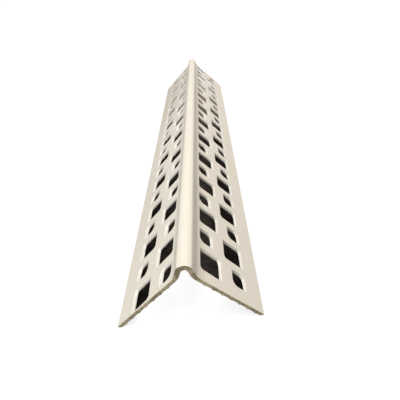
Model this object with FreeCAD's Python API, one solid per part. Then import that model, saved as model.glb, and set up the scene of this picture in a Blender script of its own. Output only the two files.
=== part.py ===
import FreeCAD, Part
import math
import os

# Corner guard moulding: a short length of plastic corner bead.
# One extruded strip makes the whole piece. Two thin wings meet at a right
# angle under a hollow rounded nose, thin ribs run along the underside of each
# wing, and two columns of leaf-cornered holes are punched through each wing so
# that plaster or adhesive can key through.
# Frame: the bead lies nose up on its two free edges. Y runs along its length,
# X across it, Z is up. The origin is on the floor under the middle.

V = FreeCAD.Vector

# The strip, in millimetres.
length = 170.0            # both ends are in the picture
wing_width = 25.0         # from the line where the outer planes would meet
wall = 0.9
wing_angle = 45.0         # of each wing below the level, so 90 degrees in all
edge_radius = 0.75        # rounding under each free edge

# The nose, measured from the line where the wings' outer planes would meet.
shoulder_half_width = 1.75
nose_half_width = 2.75    # where the nose's leaning flanks meet the wings
nose_shoulder = 0.55      # height of the shoulders above that line
nose_crown = 1.65         # height where the two top slopes would meet
crown_radius = 2.2
shoulder_radius = 0.9
root_radius = 3.0         # hollow sweep from the nose into the wing
cavity_angle = 20.0       # lean of each side of the hollow inside the nose
cavity_point = 1.5        # where the two sides of the hollow would meet
cavity_radius = 0.8
cavity_root_radius = 4.0

# Ribs along the underside of each wing.
rib_count = 7
rib_first = 6.65          # distance of the first rib from the nose line
rib_last_margin = 2.15    # distance of the last rib from the free edge
rib_height = 0.16
rib_crest = 0.5
rib_base = 0.95
rib_spacing = (wing_width - rib_first - rib_last_margin) / (rib_count - 1)

# Punched holes. Each wing has two columns. Every row has one large and one
# small hole, and the next row, half a pitch on, has them the other way round.
row_pitch = 15.9          # from one large hole to the next in a column
column_inner_edge = 4.75  # nose side of every hole in the inner column
outer_margin = 5.35       # plain strip between the outer column and the edge
column_gap = 1.6          # plain strip between two large holes side by side
large_across = (wing_width - column_inner_edge - outer_margin - column_gap) / 2
large_along = 6.35
large_corner = 1.1
small_share = 0.66        # width of a small hole as a share of a large one
small_across = large_across * small_share
small_along = 4.65
small_corner = 1.8
hole_lean = 4.0           # the cross sides of the holes slope by this angle
right_start = 6.1         # first right row, large hole beside the nose
left_start = 3.72         # first left row, small hole beside the nose
end_margin = 0.3          # no hole comes nearer to a cut end than this

# The angle turned into directions used below.
sin_a = math.sin(math.radians(wing_angle))
cos_a = math.cos(math.radians(wing_angle))
column_outer_edge = wing_width - outer_margin
lean = math.tan(math.radians(hole_lean))


def corner_arc(before, corner, after, radius):
    # The two points where a rounding leaves the corner's sides, and the
    # point half way round it.
    to_before = (before - corner).normalize()
    to_after = (after - corner).normalize()
    half = to_before.getAngle(to_after) / 2.0
    reach = radius / math.tan(half)
    middle = (to_before + to_after).normalize()
    centre = corner + middle * (radius / math.sin(half))
    return corner + to_before * reach, centre - middle * radius, corner + to_after * reach


def rounded_wire(corners):
    # A closed outline from (point, radius) pairs. Radius 0 is a sharp corner.
    edges = []
    starts = []
    ends = []
    arcs = []
    count = len(corners)
    for i in range(count):
        point, radius = corners[i]
        if radius <= 0:
            starts.append(point)
            ends.append(point)
            arcs.append(None)
            continue
        before = corners[i - 1][0]
        after = corners[(i + 1) % count][0]
        first, mid, last = corner_arc(before, point, after, radius)
        starts.append(first)
        ends.append(last)
        arcs.append(Part.Arc(first, mid, last).toShape())
    for i in range(count):
        if arcs[i] is not None:
            edges.append(arcs[i])
        edges.append(Part.LineSegment(ends[i], starts[(i + 1) % count]).toShape())
    return Part.Wire(edges)


def on_wing(side, u, depth, y):
    # A point on a wing: u from the nose line towards the free edge, depth
    # below the outer face, y along the bead. Side is 1 for right, -1 for left.
    return V(side * (u * sin_a - depth * cos_a), y, -u * cos_a - depth * sin_a)


def section_half(side):
    # Corners of half the section, from the nose's shoulder round the free
    # edge and back under the wing to the root of the hollow.
    half = [(V(side * shoulder_half_width, 0, nose_shoulder), shoulder_radius)]
    sweep_u = nose_half_width / sin_a
    half.append((on_wing(side, sweep_u, 0, 0), root_radius))
    half.append((on_wing(side, wing_width, 0, 0), 0))
    half.append((on_wing(side, wing_width, wall, 0), edge_radius))
    for i in reversed(range(rib_count)):
        u = rib_first + i * rib_spacing
        half.append((on_wing(side, u + rib_base / 2, wall, 0), 0))
        half.append((on_wing(side, u + rib_crest / 2, wall + rib_height, 0), 0))
        half.append((on_wing(side, u - rib_crest / 2, wall + rib_height, 0), 0))
        half.append((on_wing(side, u - rib_base / 2, wall, 0), 0))
    # The side of the hollow meets the underside of the wing here.
    slope = math.tan(math.radians(cavity_angle))
    drop = wall / sin_a
    z = -(cavity_point * slope + drop) / (sin_a / cos_a - slope)
    half.append((V(side * (cavity_point - z) * slope, 0, z), cavity_root_radius))
    return half


def strip():
    corners = [(V(0, 0, nose_crown), crown_radius)]
    corners += section_half(1)
    corners.append((V(0, 0, cavity_point), cavity_radius))
    corners += reversed(section_half(-1))
    return Part.Face(rounded_wire(corners)).extrude(V(0, length, 0))


def hole_cutter(side, column, large, y):
    # One punch: a straight-sided prism through the wing, square to its face.
    across = large_across if large else small_across
    along = large_along if large else small_along
    radius = large_corner if large else small_corner
    if column == "inner":
        u_mid = column_inner_edge + across / 2
    else:
        u_mid = column_outer_edge - across / 2
    # The rounded corners are at the far side towards the free edge and at the
    # near side towards the nose. The cross sides slope with the lean.
    layout = [(-1, 1, 0), (1, 1, radius), (1, -1, 0), (-1, -1, radius)]
    corners = []
    for du, dv, r in layout:
        step = du * across / 2
        v = y + dv * along / 2 - lean * step
        corners.append((on_wing(side, u_mid + step, -0.5, v), r))
    through = on_wing(side, 0, wall + rib_height + 1.0, 0)
    return Part.Face(rounded_wire(corners)).extrude(through)


def punches(side, start, first_inner_large):
    # All holes of one wing, row by row. Rows that would come too near to a
    # cut end are left out, as no part hole shows at either end.
    cutters = []
    inner_large = first_inner_large
    y = start
    while y < length:
        reach = large_along / 2 + lean * large_across / 2
        if y - reach > end_margin and y + reach < length - end_margin:
            cutters.append(hole_cutter(side, "inner", inner_large, y))
            cutters.append(hole_cutter(side, "outer", not inner_large, y))
        inner_large = not inner_large
        y += row_pitch / 2
    return cutters


right = punches(1, right_start, True)
left = punches(-1, left_start, False)
bead = strip().cut(right + left)
if bead.ShapeType == "Compound":
    bead = bead.Solids[0]

# Onto the floor: the lowest line is on the rounding under each free edge.
edge_u = wing_width - edge_radius
edge_depth = wall - edge_radius
low = -edge_u * cos_a - edge_depth * sin_a - edge_radius
bead.translate(V(0, -length / 2, -low))

os.makedirs("parts", exist_ok=True)
bead.exportStep("parts/corner_bead.step")

box = bead.BoundBox
print("holes", len(right), "right and", len(left), "left")
print("valid", bead.isValid(), "solids", len(bead.Solids), "faces", len(bead.Faces))
print("size", round(box.XLength, 2), round(box.YLength, 2), round(box.ZLength, 2))
print("lowest", round(box.ZMin, 3), "highest", round(box.ZMax, 3))
print("volume cm3", round(bead.Volume / 1000, 2))
points, facets = bead.tessellate(0.1)
print("facets", len(facets))
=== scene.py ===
# %% [markdown]
# A short length of corner bead lies nose up on a pale floor, seen from its near cut end. The measured
# solid of the bead comes from the imported frame, so this lesson is about the rest: how to give one plain
# solid the look of drawn, punched and sawn plastic, how to paint the shadow under it into a white floor,
# how to light a pale object so that its slopes still read, and how to set a camera from numbers.
#
# Blender works in metres here, so a millimetre is written as 0.001 through the constant MM. The bead
# lies along Y with its middle at the origin, and its right wing is on the side of positive X.

import math

import bpy
from mathutils import Matrix, Vector


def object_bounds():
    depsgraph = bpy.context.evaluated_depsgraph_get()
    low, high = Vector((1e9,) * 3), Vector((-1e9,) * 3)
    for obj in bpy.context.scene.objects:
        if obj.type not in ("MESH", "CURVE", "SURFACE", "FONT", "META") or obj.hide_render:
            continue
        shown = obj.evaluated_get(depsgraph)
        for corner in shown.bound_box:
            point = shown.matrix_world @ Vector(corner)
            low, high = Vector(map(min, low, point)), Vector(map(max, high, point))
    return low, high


MM = 0.001
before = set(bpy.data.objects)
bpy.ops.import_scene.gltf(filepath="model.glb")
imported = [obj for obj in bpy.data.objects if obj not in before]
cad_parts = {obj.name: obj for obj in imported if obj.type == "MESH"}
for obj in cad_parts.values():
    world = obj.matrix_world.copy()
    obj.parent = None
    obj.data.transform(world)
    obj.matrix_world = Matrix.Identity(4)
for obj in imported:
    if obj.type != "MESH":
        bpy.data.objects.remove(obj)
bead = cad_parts["corner_bead"]
cad_low, cad_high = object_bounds()
half_length = cad_high[1]
print("bead", [round((b - a) / MM, 1) for a, b in zip(cad_low, cad_high)], "mm")

# %% [markdown]
# The bead is cream plastic, the same all through, but it has three kinds of surface. The drawn surfaces
# came out of the die, so they are smooth, with faint streaks along the length. The punched walls inside
# the holes were sheared, which whitens the plastic. The two end faces were sawn, so they are dull,
# stained and scratched across.
#
# Painted textures could do this, one for each kind. One material made of nodes is better here: it is
# sharp at any distance, and it starts from nothing but the place of each point on the bead.

# %% Start the cream plastic


def add_node(tree, kind, **settings):
    node = tree.nodes.new(kind)
    for name, value in settings.items():
        setattr(node, name, value)
    return node


plastic = bpy.data.materials.new("cream_plastic")
plastic.use_nodes = True
tree = plastic.node_tree
place = add_node(tree, "ShaderNodeTexCoord").outputs["Object"]
print("material", plastic.name)

# %% [markdown]
# A painter would mask the three kinds of surface by hand. Here the masks are worked out from where a
# point is and which way it faces. An end face lies at full length. A cross wall of a hole faces along
# the bead. A long wall is found by its lean: on either side of the nose a drawn face leans outward and
# up, or inward and down, and among the holes only the long walls lean another way.

# %% Place and facing


def math_node(tree, operation, *values):
    node = add_node(tree, "ShaderNodeMath", operation=operation)
    for socket, value in zip(node.inputs, values):
        if isinstance(value, (int, float)):
            socket.default_value = value
        else:
            tree.links.new(value, socket)
    return node.outputs[0]


def split_xyz(tree, vector):
    node = add_node(tree, "ShaderNodeSeparateXYZ")
    tree.links.new(vector, node.inputs[0])
    return node.outputs["X"], node.outputs["Y"], node.outputs["Z"]


x, y, z = split_xyz(tree, place)
true_normal = add_node(tree, "ShaderNodeNewGeometry").outputs["True Normal"]
facing_x, facing_y, facing_z = split_xyz(tree, true_normal)
from_middle = math_node(tree, "ABSOLUTE", x)
side = math_node(tree, "SIGN", x)
print("place and facing, nodes so far", len(tree.nodes))

# %% Masks for sawn ends and punched walls
END_SKIN = 0.03 * MM
HOLES_REACH = 15.0 * MM
LONG_WALL_LEAN = -0.25
CROSS_WALL_FACING = 0.6


def product(tree, result, *factors):
    for factor in factors:
        result = math_node(tree, "MULTIPLY", result, factor)
    return result


sawn = math_node(tree, "GREATER_THAN", math_node(tree, "ABSOLUTE", y), half_length - END_SKIN)
lean = product(tree, side, facing_x, facing_z)
long_wall = math_node(tree, "LESS_THAN", lean, LONG_WALL_LEAN)
cross_wall = math_node(tree, "GREATER_THAN", math_node(tree, "ABSOLUTE", facing_y), CROSS_WALL_FACING)
wall = math_node(tree, "MAXIMUM", long_wall, cross_wall)
among_holes = math_node(tree, "LESS_THAN", from_middle, HOLES_REACH)
punched = product(tree, wall, among_holes, math_node(tree, "SUBTRACT", 1.0, sawn))
print("masks sawn and punched, nodes so far", len(tree.nodes))

# %% [markdown]
# Inside a hole only the top of a cross wall catches the light. Below it the wall sinks into the dark
# under the wing. The light alone would show that only with many samples, so the depth of a point
# through the wing darkens its colour. NOSE_LINE is the height at which the wings' outer faces would
# meet, and from there each falls by as much as it goes outward, so the depth comes from a plain sum.
#
# Light from the far mouth reaches down the walls there, and light from the front left does so on the
# left wing, so both are darkened less. Towards the far end the pale walls also fade back towards the
# cream.

# %% Depth in the holes
NOSE_LINE = 18.0 * MM
DEEP_START = 0.35 * MM
DEEP_END = 0.95 * MM
SHADED_TO = -30 * MM
LIT_FROM = 50 * MM
LIT_SHARE = 0.3
WINGS_APART = 30 * MM
FAR_PALE = 0.35


def ramp(tree, value, start, end, low=0.0, high=1.0):
    # A soft step from low, where value is start, to high, where it is end.
    node = add_node(tree, "ShaderNodeMapRange", interpolation_type="SMOOTHSTEP")
    tree.links.new(value, node.inputs["Value"])
    numbers = {"From Min": start, "From Max": end, "To Min": low, "To Max": high}
    for name, number in numbers.items():
        node.inputs[name].default_value = number
    return node.outputs["Result"]


down = math_node(tree, "ADD", from_middle, z)
depth = product(tree, math_node(tree, "SUBTRACT", NOSE_LINE, down), math.sqrt(0.5))
towards_light = math_node(tree, "MULTIPLY_ADD", side, -WINGS_APART, y)
shaded = ramp(tree, towards_light, SHADED_TO, LIT_FROM, 1.0, LIT_SHARE)
deep = product(tree, ramp(tree, depth, DEEP_START, DEEP_END), shaded, punched, cross_wall)
# Towards the far end the pale punched walls are blended back towards the cream.
punched = product(tree, punched, ramp(tree, y, 0.0, half_length, 1.0, FAR_PALE))
print("mask deep, nodes so far", len(tree.nodes))

# %% [markdown]
# A fourth mask, made of the same soft steps, paints shade into the colour. It darkens the hollow beside
# the nose, more on the right side, and lies thinly on the left wing, more towards its free edge and its
# far end.

# %% Painted shade
# Strengths of the shade painted in the hollow beside the nose, at the left free edge and on the far left
# wing.
HOLLOW_PAINTED_SHADE = 0.40
EDGE_PAINTED_SHADE = 0.20
FAR_PAINTED_SHADE = 0.42
NOSE_FOOT = (1.8 * MM, 2.4 * MM)
HOLLOW_END = (5.0 * MM, 3.4 * MM)
LEFT_EDGE = (-9.5 * MM, -17.8 * MM)
NEAR_PART = (-half_length, -0.5 * half_length)
FAR_PART = (0.0, 0.65 * half_length)
MIDDLE_BLEND = 0.5 * MM

# Painted shade: darker in the hollow beside the nose, more on the right and towards the far end, and on
# the left wing towards its free edge and its far end.
right_side = ramp(tree, x, -MIDDLE_BLEND, MIDDLE_BLEND)
left_side = math_node(tree, "SUBTRACT", 1.0, right_side)
past_nose = ramp(tree, from_middle, *NOSE_FOOT)
in_hollow = product(tree, past_nose, ramp(tree, from_middle, *HOLLOW_END))
towards_far = ramp(tree, y, -half_length, half_length)
hollow_painted_shade = math_node(tree, "MAXIMUM", right_side, towards_far)
hollow_painted_shade = product(tree, hollow_painted_shade, HOLLOW_PAINTED_SHADE, in_hollow)
edge_painted_shade = ramp(tree, x, *LEFT_EDGE, 0.0, EDGE_PAINTED_SHADE)
edge_painted_shade = product(tree, edge_painted_shade, ramp(tree, y, *NEAR_PART))
far_painted_shade = ramp(tree, y, *FAR_PART, 0.0, FAR_PAINTED_SHADE)
far_painted_shade = product(tree, far_painted_shade, left_side, past_nose)
painted_shade = math_node(tree, "MAXIMUM", hollow_painted_shade, math_node(tree, "ADD", edge_painted_shade, far_painted_shade))
print("mask dust, nodes so far", len(tree.nodes))

# %% [markdown]
# The colour is the cream with its streaks, then the painted shade beside the nose and on the left wing,
# then the pale punched walls and the painted shade of their depths, each laid over the last by its mask.
# Stretching is what turns a cloudy noise into the streaks of a drawn surface: the pattern is half a
# millimetre across the bead and 60 mm along it.

# %% Streaks and clouds
STREAK_SIZE = (0.5 * MM, 60 * MM, 0.5 * MM)
CLOUD_SIZE = (9 * MM, 25 * MM, 9 * MM)
MOTTLE_SHARE = 0.6
MOTTLE_START = 0.1


def stretched_noise(tree, place, sizes, detail=3.0):
    # Sizes is the length of one blotch along X, Y and Z, in metres.
    scale = add_node(tree, "ShaderNodeVectorMath", operation="MULTIPLY")
    tree.links.new(place, scale.inputs[0])
    scale.inputs[1].default_value = [1.0 / s for s in sizes]
    noise = add_node(tree, "ShaderNodeTexNoise")
    noise.inputs["Scale"].default_value = 1.0
    noise.inputs["Detail"].default_value = detail
    tree.links.new(scale.outputs[0], noise.inputs["Vector"])
    return noise.outputs["Fac"]


streaks = stretched_noise(tree, place, STREAK_SIZE)
clouds = stretched_noise(tree, place, CLOUD_SIZE, detail=2.0)
mottle = math_node(tree, "MULTIPLY_ADD", streaks, MOTTLE_SHARE, product(tree, clouds, MOTTLE_SHARE))
mottle = math_node(tree, "SUBTRACT", mottle, MOTTLE_START)
print("streaks", STREAK_SIZE[0] / MM, "by", STREAK_SIZE[1] / MM, "mm")

# %% Drawn and punched colours
DRAWN_CREAM = (0.785, 0.738, 0.643, 1.0)
DRAWN_STREAK = (0.74, 0.69, 0.595, 1.0)
# The colour of the painted shade beside the nose and on the left wing.
PAINTED_SHADE_COLOUR = (0.50, 0.44, 0.34, 1.0)
PUNCHED_PALE = (0.97, 0.935, 0.865, 1.0)
PUNCHED_DEEP = (0.10, 0.085, 0.07, 1.0)


def blend_colours(tree, factor, first, second):
    mix = add_node(tree, "ShaderNodeMix", data_type="RGBA")
    tree.links.new(factor, mix.inputs["Factor"])
    for socket, value in ((mix.inputs[6], first), (mix.inputs[7], second)):
        if isinstance(value, tuple):
            socket.default_value = value
        else:
            tree.links.new(value, socket)
    return mix.outputs[2]


colour = blend_colours(tree, mottle, DRAWN_CREAM, DRAWN_STREAK)
# Painted shade, then the pale punched walls, then the painted shade deep in the holes, each laid over the
# colour by its mask.
for mask, finish in ((painted_shade, PAINTED_SHADE_COLOUR), (punched, PUNCHED_PALE), (deep, PUNCHED_DEEP)):
    colour = blend_colours(tree, mask, colour, finish)
print("cream", DRAWN_CREAM[:3], "punched", PUNCHED_PALE[:3])

# %% [markdown]
# A saw leaves the cut ends rough, and rough plastic holds dirt. Two noises of different size, one of
# specks and one of stains, blend a dull brown into a cleaner tan.

# %% Sawn ends
SAWN_DULL = (0.22, 0.185, 0.11, 1.0)
SAWN_CLEAN = (0.54, 0.46, 0.315, 1.0)
SPECK_SIZE = (0.7 * MM, 5 * MM, 0.7 * MM)
STAIN_SIZE = (2.8 * MM, 5 * MM, 2.8 * MM)
CLEARING = (0.38, 0.62)

specks = stretched_noise(tree, place, SPECK_SIZE)
stains = stretched_noise(tree, place, STAIN_SIZE, detail=2.0)
grime = math_node(tree, "MULTIPLY_ADD", specks, 0.5, product(tree, stains, 0.5))
sawn_colour = blend_colours(tree, ramp(tree, grime, *CLEARING), SAWN_DULL, SAWN_CLEAN)
colour = blend_colours(tree, sawn, colour, sawn_colour)
print("sawn ends from", SAWN_DULL[:3], "to", SAWN_CLEAN[:3])

# %% [markdown]
# Roughness is not one number either. The drawn face has a soft sheen that varies along the streaks, a
# sheared wall has a little less, and a sawn face has almost none.

# %% Sheen
DRAWN_ROUGH = 0.34
STREAK_ROUGH = 0.12
PUNCHED_ROUGH = 0.10
SAWN_ROUGH = 0.35

roughness = math_node(tree, "MULTIPLY_ADD", streaks, STREAK_ROUGH, DRAWN_ROUGH)
roughness = math_node(tree, "MULTIPLY_ADD", punched, PUNCHED_ROUGH, roughness)
roughness = math_node(tree, "MULTIPLY_ADD", sawn, SAWN_ROUGH, roughness)
print("roughness", DRAWN_ROUGH, "to", DRAWN_ROUGH + STREAK_ROUGH, "on the drawn faces")

# %% [markdown]
# The bump is very small, about a hundredth of a millimetre, because plastic that is bumpier than that
# looks like plaster. It has the fine lines of the die, a little peel, and the marks of the saw.
#
# Every real edge is a little round, and the thin bright line along a hole's rim comes from that. A
# Bevel modifier could cut it into the mesh, but this solid comes with long thin triangles, on which the
# modifier either stops at next to nothing or folds over. The Bevel node gives the shader the direction
# that a rounded edge would face, and the measured mesh stays as it is.

# %% Relief and rounded edges
RELIEF = 0.02 * MM
RELIEF_SHARE = 0.35
EDGE_ROUND = 0.20 * MM
DIE_LINE_SIZE = (0.35 * MM, 40 * MM, 0.35 * MM)
PEEL_SIZE = (0.9 * MM, 1.6 * MM, 0.9 * MM)
SAW_MARK_SIZE = (3.0 * MM, 1 * MM, 0.12 * MM)
DIE_LINE_HEIGHT = 0.5
PEEL_HEIGHT = 0.6
SAW_MARK_HEIGHT = 4.0

die_lines = stretched_noise(tree, place, DIE_LINE_SIZE, detail=2.0)
peel = stretched_noise(tree, place, PEEL_SIZE, detail=2.0)
saw_marks = stretched_noise(tree, place, SAW_MARK_SIZE, detail=2.0)
height = math_node(tree, "MULTIPLY_ADD", die_lines, DIE_LINE_HEIGHT, product(tree, peel, PEEL_HEIGHT))
height = math_node(tree, "ADD", height, product(tree, saw_marks, sawn, SAW_MARK_HEIGHT))

rounded = add_node(tree, "ShaderNodeBevel", samples=8)
rounded.inputs["Radius"].default_value = EDGE_ROUND
bump = add_node(tree, "ShaderNodeBump")
bump.inputs["Strength"].default_value = RELIEF_SHARE
bump.inputs["Distance"].default_value = RELIEF
tree.links.new(height, bump.inputs["Height"])
tree.links.new(rounded.outputs["Normal"], bump.inputs["Normal"])
print("edges rounded by", EDGE_ROUND / MM, "mm, relief", round(RELIEF_SHARE * RELIEF / MM, 3), "mm")

# %% [markdown]
# One Principled BSDF takes the colour, the roughness and the relief. Its refraction is about that of
# rigid plastic, and its shine is set to half of the usual, because a handled surface is never quite
# clean. Then the bead's own mesh gets the material, and nothing of its shape changes.

# %% Dress the bead
REFRACTION = 1.48
SHINE = 0.25

shader = tree.nodes["Principled BSDF"]
shader.inputs["IOR"].default_value = REFRACTION
shader.inputs["Specular IOR Level"].default_value = SHINE
tree.links.new(colour, shader.inputs["Base Color"])
tree.links.new(roughness, shader.inputs["Roughness"])
tree.links.new(bump.outputs["Normal"], shader.inputs["Normal"])

bead.data.materials.clear()
bead.data.materials.append(plastic)
for polygon in bead.data.polygons:
    polygon.material_index = 0
print("finish", bead.data.materials[0].name, "nodes", len(tree.nodes))

# %% [markdown]
# The floor is one plain square.

# %% Floor sheet
FLOOR_SIZE = 3.0


def floor_sheet(size):
    mesh = bpy.data.meshes.new("floor")
    s = size / 2
    mesh.from_pydata([(-s, -s, 0), (s, -s, 0), (s, s, 0), (-s, s, 0)], [], [(0, 1, 2, 3)])
    sheet = bpy.data.objects.new("floor", mesh)
    bpy.context.scene.collection.objects.link(sheet)
    return sheet


floor = floor_sheet(FLOOR_SIZE)
print("floor", FLOOR_SIZE, "m square")

# %% [markdown]
# Most of the look is decided by what the floor does under the bead, where only dark shows through the
# holes. Daylight reaches a little way in from the near end, furthest under the nose, where the arch is
# highest. Past the far end the shade runs on for a few centimetres and narrows as it goes. All this
# could be left to the lamps alone, but the hidden strip of floor would then need very many samples to
# come out clean. So the shadow is painted into the floor's colour, and its outline is worked out from the
# bead's own length and width, so it is free of noise and stays put from every side.
#
# The daylight at the near end and the shade past the far end are both wedges: their reach shrinks as a
# point lies further aside. The point of each lies a little to the left of the middle, because more of
# the light comes from there.

# %% Outline of the painted shadow
DAYLIGHT_REACH = 15.5 * MM
DAYLIGHT_FADE = 2.5 * MM
SHADE_REACH = 32 * MM
SHADE_FADE = 45 * MM
SHADE_NARROWING = 2.0
DARK_HALF_WIDTH = 16.9 * MM
DARK_EDGE = 1.0 * MM
LEFT_SLOPE, LEFT_SHIFT = -1.15, -2.9 * MM
RIGHT_SLOPE, RIGHT_SHIFT = 0.92, 0.46 * MM


def painted_shadow_outline(tree, place):
    # 1 well under the bead, where the shadow is painted, 0 in the open.
    x, y, _ = split_xyz(tree, place)
    left_aside = math_node(tree, "MULTIPLY_ADD", x, LEFT_SLOPE, LEFT_SHIFT)
    right_aside = math_node(tree, "MULTIPLY_ADD", x, RIGHT_SLOPE, RIGHT_SHIFT)
    aside = math_node(tree, "MAXIMUM", math_node(tree, "MAXIMUM", left_aside, right_aside), 0.0)
    inward = math_node(tree, "ADD", aside, math_node(tree, "ADD", y, half_length))
    near_side = ramp(tree, inward, DAYLIGHT_REACH, DAYLIGHT_REACH + DAYLIGHT_FADE)
    outward = math_node(tree, "SUBTRACT", y, half_length)
    outward = math_node(tree, "MULTIPLY_ADD", aside, SHADE_NARROWING, outward)
    far_side = ramp(tree, outward, SHADE_REACH, SHADE_REACH - SHADE_FADE)
    sideways = math_node(tree, "ABSOLUTE", x)
    across = ramp(tree, sideways, DARK_HALF_WIDTH, DARK_HALF_WIDTH - DARK_EDGE)
    return product(tree, near_side, far_side, across)


print("daylight reaches", DAYLIGHT_REACH / MM, "mm in, shade", SHADE_REACH / MM, "mm out")

# %% [markdown]
# The painted shadow is nearly black under the outer part of each wing, where the plastic is close to
# it, a little lighter and patchy under the nose, and brown and much lighter towards the far mouth.

# %% Colour of the painted shadow
# Colours of the shadow painted into the floor under the bead.
PAINTED_SHADOW_NEAR = (0.034, 0.029, 0.024, 1.0)
PAINTED_SHADOW_BLACK = (0.006, 0.004, 0.003, 1.0)
PAINTED_SHADOW_FAR = (0.26, 0.20, 0.14, 1.0)
UNDER_WING = (3 * MM, 12 * MM)
PATCH_SIZE = (2.5 * MM, 1.6 * MM, 1 * MM)
PATCH_EDGE = (0.35, 0.65)
PATCH_BLACK = 0.5
FAR_MOUTH = (half_length - 80 * MM, half_length + 5 * MM)


# The colour of the painted shadow, darkest under the wings and browner towards the far mouth.
def painted_shadow_colour(tree, place):
    x, y, _ = split_xyz(tree, place)
    under_wing = ramp(tree, math_node(tree, "ABSOLUTE", x), *UNDER_WING)
    patches = stretched_noise(tree, place, PATCH_SIZE, detail=2.0)
    black = math_node(tree, "ADD", under_wing, ramp(tree, patches, *PATCH_EDGE, 0.0, PATCH_BLACK))
    shadow = blend_colours(tree, math_node(tree, "MINIMUM", black, 1.0), PAINTED_SHADOW_NEAR, PAINTED_SHADOW_BLACK)
    return blend_colours(tree, ramp(tree, y, *FAR_MOUTH), shadow, PAINTED_SHADOW_FAR)


print("ground from", PAINTED_SHADOW_BLACK[:3], "to", PAINTED_SHADOW_FAR[:3])

# %% [markdown]
# In the open the floor is white, with a soft shadow painted in where the wings touch it. An Ambient
# Occlusion node finds that line by itself: it measures how much of the sky a point is cut off from within
# a short distance. Far from the bead the lamps reach less of the floor, so its own white takes over
# there.

# %% Colour of the open floor
BLACK = (0.0, 0.0, 0.0, 1.0)
WHITE = (1.0, 1.0, 1.0, 1.0)
FAR_WHITE = (1.12, 1.12, 1.12, 1.0)
CONTACT_REACH = 9 * MM
CONTACT_LEVEL = 0.86
CONTACT_OPENNESS = (0.10, 0.75)
FAR_OFF = (0.15, 0.60)


def open_floor_colour(tree, place):
    # The contact shadow is painted into the floor's colour from the occlusion.
    openness = add_node(tree, "ShaderNodeAmbientOcclusion", samples=16)
    openness.inputs["Distance"].default_value = CONTACT_REACH
    contact = ramp(tree, openness.outputs["AO"], *CONTACT_OPENNESS, CONTACT_LEVEL, 1.0)
    colour = blend_colours(tree, contact, BLACK, WHITE)
    distance = add_node(tree, "ShaderNodeVectorMath", operation="LENGTH")
    tree.links.new(place, distance.inputs[0])
    far_off = ramp(tree, distance.outputs["Value"], *FAR_OFF)
    return blend_colours(tree, far_off, colour, FAR_WHITE)


print("contact line", CONTACT_REACH / MM, "mm wide at", CONTACT_LEVEL)

# %% [markdown]
# A pure white floor would throw light up under the bead and fill the holes with white. So the floor has
# two answers, chosen with the Light Path node: what the camera and reflections see is white, and what
# the bead is lit by is a dark grey. The world makes the same choice later, so that is a helper.

# %% Two answers


def seen_or_lighting(tree, seen, lighting):
    path = add_node(tree, "ShaderNodeLightPath")
    direct = math_node(tree, "MAXIMUM", path.outputs["Is Camera Ray"], path.outputs["Is Glossy Ray"])
    direct = math_node(tree, "MAXIMUM", direct, path.outputs["Is Transmission Ray"])
    mix = add_node(tree, "ShaderNodeMixShader")
    tree.links.new(direct, mix.inputs["Fac"])
    tree.links.new(lighting, mix.inputs[1])
    tree.links.new(seen, mix.inputs[2])
    return mix.outputs[0]


print("choice ready for the floor and the world")

# %% [markdown]
# The white that the camera sees is mostly a glow. By light alone the floor would be white only under
# the lamps, and the bead would throw a strong shadow on it. A little lit grey is added to the glow, and
# that carries the soft shadow.

# %% Pale floor
GLOW = 0.90
LIT_GREY = (0.15, 0.15, 0.15, 1.0)
LIT_DARK = (0.01, 0.01, 0.01, 1.0)
BOUNCE_GREY = (0.15, 0.145, 0.14, 1.0)
BOUNCE_DARK = (0.02, 0.018, 0.015, 1.0)


def pale_floor():
    material = bpy.data.materials.new("pale_floor")
    material.use_nodes = True
    tree = material.node_tree
    tree.nodes.clear()
    place = add_node(tree, "ShaderNodeTexCoord").outputs["Object"]
    # The shadow under the bead is painted into the floor: into its glow, its lit grey and its bounce.
    hidden = painted_shadow_outline(tree, place)
    glow_colour = blend_colours(tree, hidden, open_floor_colour(tree, place), painted_shadow_colour(tree, place))

    glow = add_node(tree, "ShaderNodeEmission")
    glow.inputs["Strength"].default_value = GLOW
    tree.links.new(glow_colour, glow.inputs["Color"])
    lit = add_node(tree, "ShaderNodeBsdfDiffuse")
    tree.links.new(blend_colours(tree, hidden, LIT_GREY, LIT_DARK), lit.inputs["Color"])
    bounce = add_node(tree, "ShaderNodeBsdfDiffuse")
    tree.links.new(blend_colours(tree, hidden, BOUNCE_GREY, BOUNCE_DARK), bounce.inputs["Color"])

    seen = add_node(tree, "ShaderNodeAddShader")
    tree.links.new(glow.outputs[0], seen.inputs[0])
    tree.links.new(lit.outputs[0], seen.inputs[1])
    surface = seen_or_lighting(tree, seen.outputs[0], bounce.outputs[0])
    out = add_node(tree, "ShaderNodeOutputMaterial")
    tree.links.new(surface, out.inputs["Surface"])
    return material


floor.data.materials.append(pale_floor())
print("floor finish", floor.data.materials[0].name)

# %% [markdown]
# The world does the same as the floor: the camera sees white, and the bead is lit by a weak even light
# from all round. That even light keeps the upright faces from going black. One number sets it, and the
# lamps are then balanced against it.

# %% World
AROUND = 0.11
AROUND_COLOUR = (1.0, 0.95, 0.86, 1.0)


def studio_world():
    world = bpy.data.worlds.new("studio")
    world.use_nodes = True
    tree = world.node_tree
    tree.nodes.clear()
    seen = add_node(tree, "ShaderNodeBackground")
    seen.inputs["Color"].default_value = WHITE
    light = add_node(tree, "ShaderNodeBackground")
    light.inputs["Color"].default_value = AROUND_COLOUR
    light.inputs["Strength"].default_value = AROUND
    surface = seen_or_lighting(tree, seen.outputs[0], light.outputs[0])
    out = add_node(tree, "ShaderNodeOutputWorld")
    tree.links.new(surface, out.inputs["Surface"])
    return world


bpy.context.scene.world = studio_world()
print("world light", AROUND)

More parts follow.
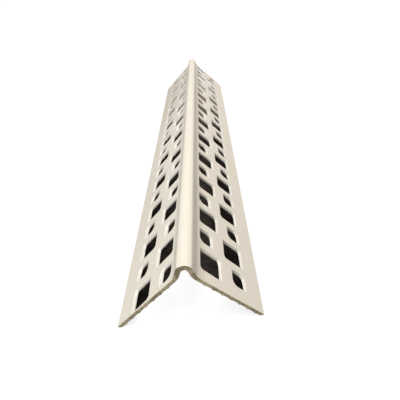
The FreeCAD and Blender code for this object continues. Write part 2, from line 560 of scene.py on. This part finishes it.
# %% [markdown]
# The slopes of the bead read because the main light comes from above and a little in front: the top of
# the nose faces it, the wings lean away from it by 45 degrees, and the flanks of the nose stand upright
# to it. A large soft box gives that without hard shadows. A small low one at the front left keeps the
# cut end and the cross walls of the holes from going black, and a weak warm one at the far right does
# the same for the walls that face away from us.
#
# A lamp's power is easier to choose from the brightness wanted. A small panel of power P at distance d
# lights a face that looks at it by about P / (pi d d), and a matt face gives back its own colour times
# that over pi. So the power is worked out from the level at which the colour should show.

# %% Soft boxes


def soft_box(name, place, aim, size, level, colour):
    lamp = bpy.data.lights.new(name, "AREA")
    lamp.shape = "SQUARE"
    lamp.size = size
    lamp.color = colour
    reach = Vector(aim) - Vector(place)
    lamp.energy = level * math.pi**2 * reach.length**2
    box = bpy.data.objects.new(name, lamp)
    box.location = place
    box.rotation_euler = reach.to_track_quat("-Z", "Y").to_euler()
    bpy.context.scene.collection.objects.link(box)
    print(name, "power", round(lamp.energy, 2), "W")
    return box


soft_box("top_box", (0.01, -0.12, 0.58), (0, -0.03, 0), 0.35, 1.13, (1.0, 0.985, 0.97))
soft_box("front_box", (-0.13, -0.40, 0.10), (0, -0.085, 0.01), 0.08, 0.40, (1.0, 0.98, 0.98))
soft_box("right_box", (0.16, 0.24, 0.20), (0, 0.06, 0), 0.12, 0.17, (1.0, 0.80, 0.66))

# %% [markdown]
# The camera stands close to the near end and looks down along the bead, so the far end shrinks to a
# third of the near one. Its place, its three angles and its focal length were fitted to the picture, and
# only the final numbers are here. The lens of a cropped picture looks through a point away from the
# picture's middle. CENTRE_PIXEL is that point, and the two shifts of the lens put it there.
#
# Blender's camera looks down its own -Z, so its matrix is built from the directions of its right, up
# and back.

# %% Camera directions
PITCH = math.radians(30.121)
YAW = math.radians(-1.576)
ROLL = math.radians(-3.437)

ahead = Vector((-math.sin(YAW) * math.cos(PITCH), math.cos(YAW) * math.cos(PITCH), -math.sin(PITCH)))
level_right = Vector((math.cos(YAW), math.sin(YAW), 0))
right = math.cos(ROLL) * level_right + math.sin(ROLL) * level_right.cross(ahead)
up = right.cross(ahead)
print("camera looks along", [round(v, 3) for v in ahead])

# %% Camera
CAMERA_PLACE = Vector((7.59, -135.66, 75.97)) * MM
FOCAL_PIXELS = 337.7
IMAGE_PIXELS = 400
CENTRE_PIXEL = (218.5, 152.5)

lens = bpy.data.cameras.new("camera")
lens.sensor_width = 36.0
lens.lens = lens.sensor_width * FOCAL_PIXELS / IMAGE_PIXELS
lens.shift_x = (IMAGE_PIXELS / 2 - CENTRE_PIXEL[0]) / IMAGE_PIXELS
lens.shift_y = (CENTRE_PIXEL[1] - IMAGE_PIXELS / 2) / IMAGE_PIXELS
lens.clip_start = 0.005
camera = bpy.data.objects.new("camera", lens)
turn = Matrix((right, up, -ahead)).transposed().to_4x4()
camera.matrix_world = Matrix.Translation(CAMERA_PLACE) @ turn
bpy.context.scene.collection.objects.link(camera)
bpy.context.scene.camera = camera
bpy.context.scene.view_settings.view_transform = "Standard"
print("lens", round(lens.lens, 2), "mm at", [round(v / MM, 1) for v in CAMERA_PLACE], "mm")
